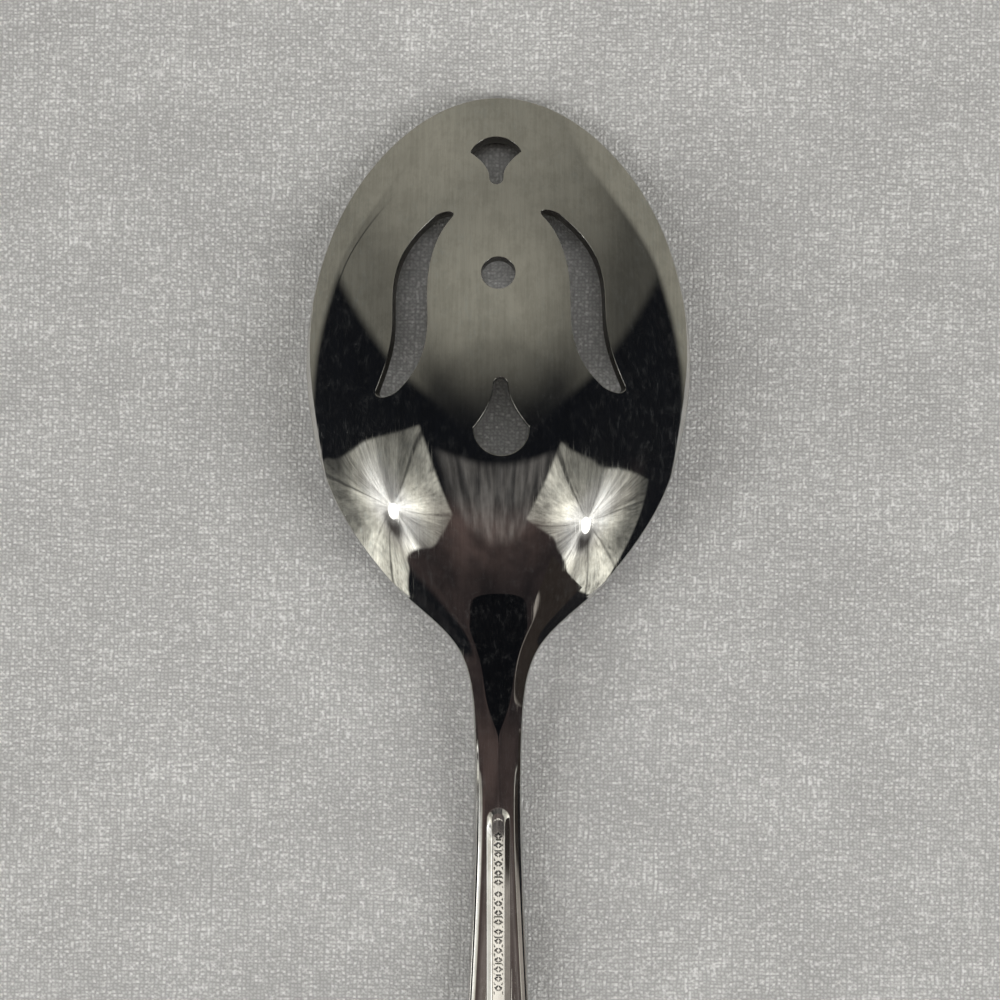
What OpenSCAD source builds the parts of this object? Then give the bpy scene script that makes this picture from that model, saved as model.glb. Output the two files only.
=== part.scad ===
// Slotted serving spoon in polished stainless steel, lying on its face as it rests on a table.
// +Z is up, +Y runs toward the tip of the bowl, and the origin is on the table under the middle.
// The real spoon is one forging. It is divided here into its natural zones, the bowl, the neck,
// the stem and the handle, which meet on plane sections with the same outline on both sides.
// Every point of the surface is found from s, the distance from the tip, and x, the distance
// from the middle line. The back is the height back_z(x, s), the front is front_z(x, s).

/* [Overall] */
// Length from the tip of the bowl to the end of the handle
overall_l = 214; // [198:1:232]
// Greatest width of the handle, near its end
handle_w = 19.4; // [15:0.1:23]
// Height of the handle's front over the table, at its end
handle_rise = 13.1; // [10:0.1:17]
// Thickness of the handle at its end
handle_t = 2.1; // [1.8:0.05:2.6]

/* [Bowl] */
// Greatest width of the bowl
bowl_w = 47; // [42:0.5:53]
// Length of the bowl, from its tip to the neck
bowl_l = 66; // [60:0.5:73]
// Height of the bowl's back over the table
bowl_h = 11.5; // [10:0.1:13.5]
// Thickness of the sheet in the bowl
sheet_t = 1.25; // [1:0.05:1.6]
// Width of the rounding that runs round the rim
rim_round = 0.25; // [0.15:0.05:0.5]

/* [Neck and stem] */
// Length of the neck, from the bowl to the narrowest place of the stem
neck_l = 18; // [16:0.5:21]
// Length of the stem, from the neck to where the handle begins to widen
stem_l = 28; // [22:0.5:32]
// Width of the stem where it is narrowest
stem_w = 5.76; // [5:0.02:7]
// Thickness of the stem
stem_t = 2.6; // [2.2:0.05:3.2]
// Width of the bevel along both edges of the stem and handle
bevel_w = 0.95; // [0.7:0.05:1.2]
// Drop of that bevel from the back to the edge
bevel_drop = 0.5; // [0.3:0.05:0.7]

/* [Raised band] */
// Width of the half-round band along the back of the stem
band_w = 2.84; // [2.4:0.02:3.2]
// Height of the band
band_h = 0.5; // [0.3:0.02:0.7]
// Length of the band between its two round ends
band_l = 62; // [40:1:80]
// Distance from the narrowest place of the stem to the band
band_gap = 3.7; // [2:0.1:6]

/* [Pierced pattern] */
// Turn of the whole pattern about its centre, in degrees
pattern_turn = 1.1; // [-3:0.1:3]
// Diameter of the round hole
hole_d = 4; // [3.2:0.1:4.6]
// Distance of the round hole from the tip
hole_s = 23.2; // [22:0.1:25]
// Width of the two curved slots at their widest
slot_w = 4.14; // [3.4:0.02:4.6]
// Length of the slots along the bowl
slot_l = 22.3; // [20:0.1:23]
// Distance of the slots from the tip
slot_s = 15.35; // [14.5:0.05:16.5]
// Distance from the middle line to the slots, at half their length
slot_x = 10.55; // [9.8:0.05:11]
// Width of the fan-shaped hole
fan_w = 6.16; // [5:0.02:7]
// Length of the fan-shaped hole
fan_l = 6.35; // [5.6:0.05:7]
// Distance of the fan-shaped hole from the tip
fan_s = 5.6; // [5:0.05:6.2]
// Width of the drop-shaped hole
drop_w = 6.54; // [5.4:0.02:7.4]
// Length of the drop-shaped hole
drop_l = 9.1; // [8:0.05:10]
// Distance of the drop-shaped hole from the tip
drop_s = 35.75; // [34.5:0.05:37]

/* [Hidden] */

steel = [0.66, 0.65, 0.62];

// Where the zones meet, as distances from the tip
neck_s = bowl_l;
stem_s = neck_s + neck_l;
handle_s = stem_s + stem_l;

// Step used to measure a slope, and the overrun of every cut
slope_step = 0.02;
cut_over = 0.6;

// Half widths along the spoon. Each row is a share of the zone's length and a share of its width.
bowl_outline_shares = [
    [0, 0], [0.044, 0.394], [0.118, 0.632], [0.23, 0.838], [0.386, 0.974], [0.545, 1],
    [0.674, 0.936], [0.758, 0.851], [0.818, 0.753], [0.879, 0.626], [0.932, 0.489], [0.977, 0.345]];
neck_outline_shares = [
    [0.083, 1.84], [0.25, 1.354], [0.444, 1.128], [0.667, 1.042], [1, 1]];
handle_outline_shares = [
    [0.0615, 0.01], [0.123, 0.051], [0.215, 0.135], [0.354, 0.296], [0.508, 0.487],
    [0.677, 0.714], [0.83, 0.912], [0.938, 1], [1, 1.015]];

// Heights of the back along the middle line, as shares of the bowl's height, then of the fall
// from the shoulder to the stem, then of the rise of the handle.
bowl_crest_shares = [
    [0, 0.1078], [0.076, 0.272], [0.152, 0.428], [0.242, 0.587], [0.333, 0.726], [0.455, 0.874],
    [0.576, 0.97], [0.697, 1], [0.773, 0.987], [0.841, 0.935], [0.886, 0.87], [0.933, 0.774], [1, 0.626]];
neck_crest_shares = [
    [0.222, 0.733], [0.556, 0.435], [0.889, 0.235]];
handle_crest_shares = [
    [0.046, 0.027], [0.108, 0.004], [0.154, 0], [0.223, 0.017], [0.354, 0.103], [0.585, 0.373],
    [0.892, 0.849], [1, 1]];

// Heights of the rim, as shares of the bowl's height.
rim_shares = [
    [0, 0.1078], [0.121, 0.127], [0.303, 0.191], [0.576, 0.297], [0.788, 0.392], [0.909, 0.45],
    [0.985, 0.462]];
// Drop from the middle line to the edge past the rim, as shares of the bevel's drop.
edge_drop_shares = [
    [0.17, 2.15], [0.4, 1.2], [0.66, 1.1], [1, 1.2]];
stem_drop_shares = [
    [0.0615, 1.15], [0.154, 1], [0.354, 1], [1, 1]];

// Half width of the flat tongue on the back of the neck, as shares of the neck's length past
// the bowl's end and of the stem's width.
tongue_shares = [
    [-0.222, 1.01], [-0.111, 0.8], [0.022, 0.573], [0.15, 0.425], [0.3, 0.321], [0.444, 0.252],
    [0.567, 0.156], [0.667, 0.052], [0.722, 0]];

// Natural cubic through hand-chosen points: the slope at each point makes the bend continuous.
function steps(p) = [for (i = [1:len(p) - 1]) p[i][0] - p[i - 1][0]];
function rises(p, h) = [for (i = [0:len(h) - 1]) (p[i + 1][1] - p[i][1]) / h[i]];
function row_of(i, h, d) =
    i == 0 ? [0, 2, 1, 3 * d[0]]
    : i == len(h) ? [1, 2, 0, 3 * d[len(h) - 1]]
    : [h[i], 2 * (h[i - 1] + h[i]), h[i - 1], 3 * (h[i] * d[i - 1] + h[i - 1] * d[i])];
function forward(h, d) = [
    for (i = 0, r = row_of(0, h, d), f = [r[2] / r[1], r[3] / r[1]];
         i <= len(h);
         i = i + 1,
         r = i <= len(h) ? row_of(i, h, d) : r,
         g = r[1] - r[0] * f[0],
         f = [r[2] / g, (r[3] - r[0] * f[1]) / g]) f];
function backward(f, i, k) =
    i < 0 ? k : backward(f, i - 1, concat([f[i][1] - f[i][0] * k[0]], k));
function curve(p) =
    let (h = steps(p), f = forward(h, rises(p, h)), n = len(h))
    [p, backward(f, n - 1, [f[n][1]])];
function span_of(p, x, lo, hi) =
    hi - lo <= 1 ? lo
    : let (mid = floor((lo + hi) / 2)) x < p[mid][0] ? span_of(p, x, lo, mid) : span_of(p, x, mid, hi);
function at(c, x) =
    let (p = c[0], i = span_of(p, x, 0, len(p) - 1), h = p[i + 1][0] - p[i][0],
         t = (x - p[i][0]) / h, u = 1 - t)
    p[i][1] * (1 + 2 * t) * u * u + p[i + 1][1] * t * t * (3 - 2 * t)
    + h * t * u * (c[1][i] * u - c[1][i + 1] * t);

// Rises smoothly from 0 to 1 between a and b.
function ease(a, b, x) =
    let (t = min(1, max(0, (x - a) / (b - a)))) t * t * t * (t * (6 * t - 15) + 10);
// A ramp that is 0 up to its start and 1 at its end, with its bend rounded over e.
function bend(v, e) = (v + sqrt(v * v + e * e)) / 2;
function ramp(v, start, end, e) =
    let (low = bend(-start, e)) (bend(v - start, e) - low) / (bend(end - start, e) - low);

// Places a table of shares along the spoon.
function placed(shares, start, length, low, high) =
    [for (row = shares) [start + row[0] * length, low + row[1] * (high - low)]];

// The outline. It runs over the root of the distance, because the tip is round.
outline_rows = concat(
    placed(bowl_outline_shares, 0, bowl_l, 0, bowl_w / 2),
    placed(neck_outline_shares, neck_s, neck_l, 0, stem_w / 2),
    placed(handle_outline_shares, stem_s, overall_l - stem_s, stem_w / 2, handle_w / 2));
outline_curve = curve([for (row = outline_rows) [sqrt(row[0] / overall_l), row[1]]]);
end_round_share = 0.57;
end_round_l = end_round_share * handle_w;
end_power = 2.6;
function half_w(s) =
    let (t = max(0, 1 - (overall_l - s) / end_round_l))
    at(outline_curve, sqrt(max(0, s) / overall_l)) * sqrt(max(0, 1 - pow(t, end_power)));

// The middle line of the back.
shoulder_h = bowl_crest_shares[len(bowl_crest_shares) - 1][1] * bowl_h;
crest_rows = concat(
    placed(bowl_crest_shares, 0, bowl_l, 0, bowl_h),
    placed(neck_crest_shares, neck_s, neck_l, stem_t, shoulder_h),
    placed(handle_crest_shares, stem_s, overall_l - stem_s, stem_t, handle_rise + handle_t));
crest_curve = curve(crest_rows);
function crest_z(s) = at(crest_curve, s);

// The edge line of the back, before the edge is rounded.
edge_rows = concat(
    placed(rim_shares, 0, bowl_l, 0, bowl_h),
    [for (row = placed(edge_drop_shares, neck_s, neck_l, 0, bevel_drop))
        [row[0], crest_z(row[0]) - row[1]]],
    [for (row = placed(stem_drop_shares, stem_s, overall_l - stem_s, 0, bevel_drop))
        [row[0], crest_z(row[0]) - row[1]]]);
edge_curve = curve(edge_rows);
function edge_z(s) = at(edge_curve, s);

// Across the bowl the back is domed: a round middle and a steeper rim, which grows plainer again
// toward the neck.
dome_fade_share = 0.33;
plain_from_share = 0.52;
plain_to_share = 0.91;
plain_most_share = 0.85;
rim_steepness_share = 0.28;
rim_power = 5;
function rim_steepness(s) =
    rim_steepness_share * ease(0, dome_fade_share * bowl_l, s)
    * (1 - plain_most_share * ease(plain_from_share * bowl_l, plain_to_share * bowl_l, s));
function dome_z(x, s) =
    let (q = min(1, abs(x) / max(slope_step, half_w(s))),
         k = rim_steepness(s),
         top = crest_z(s))
    top - (top - edge_z(s)) * ((1 - k) * q * q + k * pow(q, rim_power));

// Across the neck and stem it has a flat tongue or a soft ridge, side facets and a bevel.
tongue_curve = curve([for (row = tongue_shares) [neck_s + row[0] * neck_l, row[1] * stem_w]]);
tongue_start = neck_s + tongue_shares[0][0] * neck_l;
tongue_end = neck_s + tongue_shares[len(tongue_shares) - 1][0] * neck_l;
function tongue_x(s) =
    s >= tongue_end ? 0 : max(0, at(tongue_curve, max(s, tongue_start)));
facet_round_share = 0.06;
bevel_round_share = 0.2;
bevel_full_share = 0.75;
bevel_start_share = 0.45;
bevel_end_share = 0.5;
bevel_from = neck_s + bevel_start_share * neck_l;
bevel_to = stem_s + bevel_end_share * stem_l;
function facet_z(x, s) =
    let (w = half_w(s), v = min(abs(x), w), k = bevel_full_share * ease(bevel_from, bevel_to, s),
         top = crest_z(s), bevel = min(bevel_w, w / 2),
         facet = ramp(v, min(tongue_x(s), w - bevel), w, facet_round_share * stem_w),
         edge = ramp(v, w - bevel, w, bevel_round_share * bevel_w))
    top - (top - edge_z(s)) * ((1 - k) * facet + k * edge);

// The raised band has the section of half an ellipse and a ball end at both ends.
band_s = stem_s + band_gap;
band_r = band_w / 2;
function band_z(x, s) =
    let (past = max(0, band_s + band_r - s, s - band_s - band_l + band_r))
    band_h * sqrt(max(0, 1 - (x * x + past * past) / (band_r * band_r)));

// The dome passes into the facets over this reach, before and after the end of the bowl.
facet_reach_share = 0.28;
facet_from = neck_s - facet_reach_share * neck_l;
facet_to = neck_s + facet_reach_share * neck_l;
function back_z(x, s) =
    let (b = ease(facet_from, facet_to, s))
    (b == 1 ? 0 : (1 - b) * dome_z(x, s)) + (b == 0 ? 0 : b * facet_z(x, s)) + band_z(x, s);

// The front follows the dome at the sheet's thickness, and past the neck it is nearly flat.
bowl_thickness_shares = [[0, 0], [0.73, 0], [0.91, 0.333]];
neck_thickness_shares = [[0.22, 0.75], [0.78, 1]];
thickness_rows = concat(
    placed(bowl_thickness_shares, 0, bowl_l, sheet_t, stem_t),
    placed(neck_thickness_shares, neck_s, neck_l, sheet_t, stem_t),
    [[handle_s, stem_t], [overall_l, handle_t]]);
front_crown_share = 0.12;
front_reach_share = 0.55;
front_from = neck_s - front_reach_share * neck_l;
front_to = neck_s + front_reach_share * neck_l;
function shell_z(x, s, t) =
    let (z = dome_z(x, s),
         gx = (dome_z(x + slope_step, s) - z) / slope_step,
         gs = (dome_z(x, s + slope_step) - z) / slope_step)
    z - t * sqrt(1 + gx * gx + gs * gs);
function front_z(x, s) =
    let (t = lookup(s, thickness_rows), b = ease(front_from, front_to, s),
         q = abs(x) / max(slope_step, half_w(s)))
    (b == 1 ? 0 : (1 - b) * shell_z(x, s, t))
    + (b == 0 ? 0 : b * (crest_z(s) - t + front_crown_share * stem_t * q * q));

// Sections. A section runs from a point on the middle line to a point on the outline. They are
// square to the middle line, except near both ends, where they spread like the ribs of a fan.
tip_hub_share = 0.18;
tip_fan_share = 0.45;
end_hub_share = 0.42;
end_fan_share = 1.05;
tip_n = 12;
bowl_n = 19;
neck_n = 14;
stem_n = 14;
handle_n = 16;
end_n = 9;
tip_fan = tip_fan_share * bowl_l;
tip_hub = tip_hub_share * bowl_l;
end_fan = end_fan_share * handle_w;
end_hub = end_hub_share * handle_w;
function fan_foot(d, fan, hub) = hub + (fan - hub) * pow(d / fan, fan / (fan - hub));
function spread(a, b, n) = [for (i = [0:n]) a + (b - a) * i / n];
tip_columns = [for (i = [1:tip_n])
    let (d = tip_fan * pow((i - 0.5) / (tip_n - 0.5), 2)) [d, fan_foot(d, tip_fan, tip_hub)]];
end_columns = [for (i = [end_n:-1:1])
    let (d = end_fan * pow((i - 0.5) / (end_n - 0.5), 2))
    [overall_l - d, overall_l - fan_foot(d, end_fan, end_hub)]];
function straight(a, b, n) = [for (s = spread(a, b, n)) [s, s]];
function after_first(list) = [for (i = [1:len(list) - 1]) list[i]];
bowl_columns = concat(tip_columns, after_first(straight(tip_fan, neck_s, bowl_n)));
neck_columns = straight(neck_s, stem_s, neck_n);
stem_columns = straight(stem_s, handle_s, stem_n);
handle_columns = concat(
    straight(handle_s, overall_l - end_fan, handle_n), after_first(end_columns));

// Rows across a section: the core under the band, the flank, and the turn of the rounded edge.
core_shares = [0, 0.25, 0.5, 0.7, 0.86, 0.96, 1];
flank_shares = [0.2, 0.42, 0.62, 0.82, 1];
turn_angles = [60, 35, 15, 0];
core_in_bowl_share = 0.42;
core_in_stem_share = 0.6;
core_most_share = 0.8;
core_before_share = 0.3;
core_after_share = 0.6;
core_from = neck_s - core_before_share * neck_l;
core_to = neck_s + core_after_share * neck_l;
function core_x(s, w) =
    let (b = ease(core_from, core_to, s), wide = core_in_bowl_share * w)
    s > overall_l - end_fan ? min(band_r, wide)
    : (1 - b) * wide + b * min(band_r, core_in_stem_share * w);
row_n = len(core_shares) + len(flank_shares) + len(turn_angles) - 1;

// Width of the rounding along the outline.
round_bowl_end_share = 0.9;
round_neck_start_share = 0.3;
round_neck_share = 0.045;
round_neck_w = round_neck_share * stem_w;
round_rows = [
    [round_bowl_end_share * bowl_l, rim_round],
    [neck_s + round_neck_start_share * neck_l, round_neck_w],
    [stem_s, round_neck_w], [handle_s, rim_round]];
function round_w(s) = min(lookup(s, round_rows), half_w(s) / 2);

// Direction from the outline inward: square to the outline in the bowl and at the handle's end,
// and straight across elsewhere, so that the zones meet on planes.
square_to_share = 0.6;
across_from_share = 0.9;
function inward(s) =
    let (g = (half_w(s + slope_step) - half_w(s)) / slope_step,
         n = [1, -g] / sqrt(1 + g * g),
         past_bowl = ease(square_to_share * bowl_l, across_from_share * bowl_l, s),
         across = past_bowl * (1 - ease(overall_l - end_fan, overall_l, s)),
         m = (1 - across) * n + across * [1, 0])
    m / (m * n);
function level(p, h) =
    let (b = back_z(p[0], p[1]), f = front_z(p[0], p[1]), mid = (b + f) / 2)
    [p[0], p[1], mid + (b - mid) * h, mid - (mid - f) * h];
function column(c) =
    let (s = c[0], foot = [0, c[1]], rim = [half_w(s), s], m = inward(s), r = round_w(s),
         last = rim - r * m, reach = last - foot,
         core = min(core_most_share, core_x(s, rim[0]) / max(slope_step, norm(reach))))
    concat(
        [for (k = core_shares) level(foot + reach * core * k, 1)],
        [for (k = flank_shares) level(foot + reach * (core + (1 - core) * k), 1)],
        [for (a = turn_angles) level(rim - r * (1 - cos(a)) * m, sin(a))]);

// The spoon stands on the tip's rim and on the arch of the stem, so the lowest of both is at 0.
tip_low = min([for (c = [for (i = [0:3]) tip_columns[i]]) for (p = column(c)) p[3]]);
arch_low = min([for (c = stem_columns) front_z(0, c[0])]);
rest_lift = -min(tip_low, arch_low);

// One closed ring of points for each section: back right, front right, front left, back left.
function world(x, s, z) = [x, overall_l / 2 - s, z + rest_lift];
function ring(c) =
    let (p = column(c), n = row_n)
    concat(
        [for (j = [0:n]) world(p[j][0], p[j][1], p[j][2])],
        [for (j = [n - 1:-1:0]) world(p[j][0], p[j][1], p[j][3])],
        [for (j = [1:n]) world(-p[j][0], p[j][1], p[j][3])],
        [for (j = [n - 1:-1:1]) world(-p[j][0], p[j][1], p[j][2])]);
function wall_faces(rings, m) = [
    for (k = [0:rings - 2]) for (i = [0:m - 1])
        let (a = k * m + i, b = k * m + (i + 1) % m)
        each [[a, b, b + m], [a, b + m, a + m]]];
// A flat cut across the spoon, closed from the back to the front.
function cut_faces(k, m) =
    let (n = m / 4, o = k * m)
    [for (j = [0:n - 1]) each [
        [o + j, o + 2 * n - j, o + 2 * n - j - 1], [o + j, o + 2 * n - j - 1, o + j + 1],
        [o + (m - j) % m, o + m - j - 1, o + 2 * n + j + 1],
        [o + (m - j) % m, o + 2 * n + j + 1, o + 2 * n + j]]];
// An end where the back and the front each close across the middle line.
function end_faces(k, m) =
    let (n = m / 4, o = k * m)
    [for (j = [0:n - 1]) each [
        [o + j, o + (m - j) % m, o + m - j - 1], [o + j, o + m - j - 1, o + j + 1],
        [o + 2 * n - j, o + 2 * n - j - 1, o + 2 * n + j + 1],
        [o + 2 * n - j, o + 2 * n + j + 1, o + 2 * n + j]]];
function flipped(faces) = [for (f = faces) [f[0], f[2], f[1]]];
function whole(faces) = [
    for (f = faces) if (f[0] != f[1] && f[1] != f[2] && f[2] != f[0]) f];
module zone(columns, open_start, open_end) {
    rings = [for (c = columns) ring(c)];
    m = len(rings[0]);
    last = len(rings) - 1;
    first_cap = open_start ? end_faces(0, m) : cut_faces(0, m);
    last_cap = flipped(open_end ? end_faces(last, m) : cut_faces(last, m));
    polyhedron(
        points = [for (r = rings) each r],
        faces = whole(concat(wall_faces(len(rings), m), first_cap, last_cap)),
        convexity = 6);
}

// The pierced pattern is symmetric about its own middle line, and turned on the bowl.
pattern_s = hole_s;
function turned_at(x, s) =
    let (c = cos(pattern_turn), k = sin(pattern_turn), d = s - pattern_s)
    [x * c + d * k, pattern_s + d * c - x * k];
// Normal of the back at a place, in the spoon's frame.
function normal_at(p) =
    let (z = dome_z(p[0], p[1]),
         gx = (dome_z(p[0] + slope_step, p[1]) - z) / slope_step,
         gs = (dome_z(p[0], p[1] + slope_step) - z) / slope_step,
         n = [-gx, gs, 1])
    n / norm(n);
function on_back(p) = world(p[0], p[1], dome_z(p[0], p[1]));

// A cutter that follows the dome: its walls stand square to the sheet all along its outline.
// Each row of edges is a place along the bowl with the cutter's left and right side there.
function rib(row) =
    let (l = turned_at(row[1], row[0]), r = turned_at(row[2], row[0]),
         a = on_back(l), b = on_back(r), na = normal_at(l), nb = normal_at(r),
         deep = sheet_t + cut_over)
    [a + cut_over * na, b + cut_over * nb, b - deep * nb, a - deep * na];
module cutter(edges) {
    n = len(edges);
    polyhedron(
        points = [for (row = edges) each rib(row)],
        faces = concat(
            [[0, 2, 1], [0, 3, 2]],
            [for (k = [0:n - 2]) for (i = [0:3])
                let (a = 4 * k + i, b = 4 * k + (i + 1) % 4)
                each [[a, b, b + 4], [a, b + 4, a + 4]]],
            [[4 * n - 4, 4 * n - 3, 4 * n - 2], [4 * n - 4, 4 * n - 2, 4 * n - 1]]),
        convexity = 4);
}
// Places along a cutter from a to b, closer together toward its two ends.
function places(a, b, n) = [for (i = [0:n]) (a + b) / 2 - (b - a) / 2 * cos(180 * (i + 0.5) / (n + 1))];
// Half width of a rounded end: d is the distance from the end and r the length of the rounding.
function closing(d, r) = sqrt(max(0, 1 - pow(max(0, 1 - d / r), 2)));
// Concave flank from the narrow stalk to the corner, t running from 0 at the corner to 1.
flank_power = 1.8;
function flank(t, stalk, wide) = stalk + (wide - stalk) * pow(max(0, 1 - t), flank_power);

slot_line_shares = [[0, 0.555], [0.085, 0.725], [0.21, 0.89], [0.39, 0.99], [0.5, 1],
                    [0.66, 1.007], [0.79, 1.066], [0.9, 1.173], [1, 1.318]];
slot_width_shares = [[0, 0.5], [0.04, 0.56], [0.21, 0.835], [0.43, 0.98], [0.7, 0.995],
                     [0.83, 0.95], [0.92, 0.8], [1, 0.55]];
slot_top_round_share = 0.15;
slot_foot_round_share = 0.2;
slot_line = curve(slot_line_shares);
slot_width = curve(slot_width_shares);
slot_n = 30;
function slot_edges(side) = [
    for (s = places(slot_s, slot_s + slot_l, slot_n))
        let (t = (s - slot_s) / slot_l,
             h = slot_w / 2 * at(slot_width, t)
                 * closing(s - slot_s, slot_top_round_share * slot_w)
                 * closing(slot_s + slot_l - s, slot_foot_round_share * slot_w),
             x = slot_x * at(slot_line, t))
        side > 0 ? [s, x - h, x + h] : [s, -x - h, -x + h]];

// The fan: a round arc to its corners, concave flanks, and a stalk with a round foot.
fan_corner_share = 0.32;
fan_stalk_s_share = 0.83;
fan_stalk_share = 0.27;
fan_n = 26;
fan_arc_l = fan_corner_share * fan_l;
fan_arc_r = (pow(fan_w / 2, 2) + pow(fan_arc_l, 2)) / (2 * fan_arc_l);
function fan_half(d) =
    d < fan_arc_l ? sqrt(max(0, pow(fan_arc_r, 2) - pow(fan_arc_r - d, 2)))
    : flank((d - fan_arc_l) / (fan_stalk_s_share * fan_l - fan_arc_l),
            fan_stalk_share * fan_w / 2, fan_w / 2)
      * closing(fan_l - d, fan_stalk_share * fan_w / 2);
fan_edges = [for (d = places(0, fan_l, fan_n)) [fan_s + d, -fan_half(d), fan_half(d)]];

// The drop: a narrow round top, concave flanks to its corners, and a round belly.
drop_stalk_s_share = 0.09;
drop_stalk_share = 0.26;
drop_n = 30;
drop_corner = drop_l - drop_w / 2;
function drop_half(d) =
    d > drop_corner ? sqrt(max(0, pow(drop_w / 2, 2) - pow(d - drop_corner, 2)))
    : flank((drop_corner - d) / (drop_corner - drop_stalk_s_share * drop_l),
            drop_stalk_share * drop_w / 2, drop_w / 2)
      * closing(d, drop_stalk_share * drop_w / 2);
drop_edges = [for (d = places(0, drop_l, drop_n)) [drop_s + d, -drop_half(d), drop_half(d)]];

// The round hole is a true cylinder, square to the sheet.
module round_hole() {
    p = turned_at(0, hole_s);
    n = normal_at(p);
    deep = sheet_t + cut_over;
    translate(on_back(p) - deep * n)
        rotate([0, acos(n[2]), atan2(n[1], n[0])])
            cylinder(h = deep + cut_over, d = hole_d, $fn = 48);
}

module bowl() {
    color(steel)
        difference() {
            zone(bowl_columns, true, false);
            cutter(fan_edges);
            cutter(slot_edges(1));
            cutter(slot_edges(-1));
            cutter(drop_edges);
            round_hole();
        }
}

module neck() {
    color(steel) zone(neck_columns, false, false);
}

module stem() {
    color(steel) zone(stem_columns, false, false);
}

module handle() {
    color(steel) zone(handle_columns, false, true);
}

bowl();
neck();
stem();
handle();
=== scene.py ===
"""Slotted serving spoon in polished stainless steel, lying on its face on a pale woven cloth.

The spoon is one forging, so it is one closed mesh here. It is found from the same height
functions as the CAD solids, in millimetres: s is the distance from the tip of the bowl and x the
distance from the middle line. The plan is meshed, lifted onto the back and the front, and joined
round the rim and round the pierced holes. Each vertex gets the normal of the true surface.
"""
import math

import bmesh
import bpy
import numpy as np
from mathutils import Matrix, Vector
from mathutils.geometry import delaunay_2d_cdt


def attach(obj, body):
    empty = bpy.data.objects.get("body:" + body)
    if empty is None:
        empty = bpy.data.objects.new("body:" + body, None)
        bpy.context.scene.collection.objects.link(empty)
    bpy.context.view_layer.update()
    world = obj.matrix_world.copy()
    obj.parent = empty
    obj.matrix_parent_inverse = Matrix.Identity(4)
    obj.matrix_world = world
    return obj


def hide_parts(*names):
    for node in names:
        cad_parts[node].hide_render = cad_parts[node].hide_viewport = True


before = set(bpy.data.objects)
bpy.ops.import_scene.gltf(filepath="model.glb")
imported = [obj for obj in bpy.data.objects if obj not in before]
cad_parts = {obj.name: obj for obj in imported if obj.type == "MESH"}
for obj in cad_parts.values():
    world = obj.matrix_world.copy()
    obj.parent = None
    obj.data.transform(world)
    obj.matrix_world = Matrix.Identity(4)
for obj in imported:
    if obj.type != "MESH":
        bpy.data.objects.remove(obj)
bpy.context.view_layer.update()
MM = 0.001

# Sizes in millimetres, as in the CAD solids
OVERALL_L = 214.0
HANDLE_W = 19.4
HANDLE_RISE = 13.1
HANDLE_T = 2.1
BOWL_W = 47.0
BOWL_L = 66.0
BOWL_H = 11.5
SHEET_T = 1.25
RIM_ROUND = 0.25
NECK_L = 18.0
STEM_L = 28.0
STEM_W = 5.76
STEM_T = 2.6
BEVEL_W = 0.95
BEVEL_DROP = 0.5
BAND_W = 2.84
BAND_L = 62.0
BAND_GAP = 3.7
NECK_S = BOWL_L
STEM_S = NECK_S + NECK_L
HANDLE_S = STEM_S + STEM_L
# the spoon stands on the tip's rim and on the arch of the stem, and this seats it on the table
LIFT = 0.0013


def curve(points):
    """Natural cubic through (place, value) points."""
    xs, ys = (np.array(c, float) for c in zip(*points))
    h = np.diff(xs)
    d = np.diff(ys) / h
    n = len(xs)
    a = np.zeros((n, n))
    b = np.zeros(n)
    a[0, :2] = 2, 1
    a[-1, -2:] = 1, 2
    b[0], b[-1] = 3 * d[0], 3 * d[-1]
    for i in range(1, n - 1):
        a[i, i - 1:i + 2] = h[i], 2 * (h[i - 1] + h[i]), h[i - 1]
        b[i] = 3 * (h[i] * d[i - 1] + h[i - 1] * d[i])
    k = np.linalg.solve(a, b)

    def at(x):
        x = np.asarray(x, float)
        i = np.clip(np.searchsorted(xs, x, side="right") - 1, 0, n - 2)
        t = (x - xs[i]) / h[i]
        u = 1 - t
        return (ys[i] * (1 + 2 * t) * u * u + ys[i + 1] * t * t * (3 - 2 * t)
                + h[i] * t * u * (k[i] * u - k[i + 1] * t))
    return at


def ease(a, b, x):
    """Rises smoothly from 0 to 1 between a and b."""
    t = np.clip((np.asarray(x, float) - a) / (b - a), 0, 1)
    return t * t * t * (t * (6 * t - 15) + 10)


def bend(v, e):
    """v where it is positive and 0 where it is negative, with a rounding of size e between."""
    return (v + np.sqrt(v * v + e * e)) / 2


def ramp(v, start, end, e):
    """Rises from 0 at v = 0 to 1 at the end, mostly after the start, with a rounded bend."""
    low = bend(-start, e)
    return (bend(v - start, e) - low) / (bend(end - start, e) - low)


def placed(shares, start, length, low, high):
    """Turns shares of a length and of a range of heights into (place, value) points."""
    return [(start + a * length, low + b * (high - low)) for a, b in shares]


# The spoon's outline in plan and its heights, as shares of each zone
OUTLINE = curve([((s / OVERALL_L) ** 0.5, w) for s, w in
    placed([(0, 0), (0.044, 0.394), (0.118, 0.632), (0.23, 0.838), (0.386, 0.974), (0.545, 1),
            (0.674, 0.936), (0.758, 0.851), (0.818, 0.753), (0.879, 0.626), (0.932, 0.489),
            (0.977, 0.345)], 0, BOWL_L, 0, BOWL_W / 2)
    + placed([(0.083, 1.84), (0.25, 1.354), (0.444, 1.128), (0.667, 1.042), (1, 1)],
             NECK_S, NECK_L, 0, STEM_W / 2)
    + placed([(0.0615, 0.01), (0.123, 0.051), (0.215, 0.135), (0.354, 0.296), (0.508, 0.487),
              (0.677, 0.714), (0.83, 0.912), (0.938, 1), (1, 1.015)],
             STEM_S, OVERALL_L - STEM_S, STEM_W / 2, HANDLE_W / 2)])
END_ROUND_L = 0.57 * HANDLE_W
END_ROUND_POWER = 2.6


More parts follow.
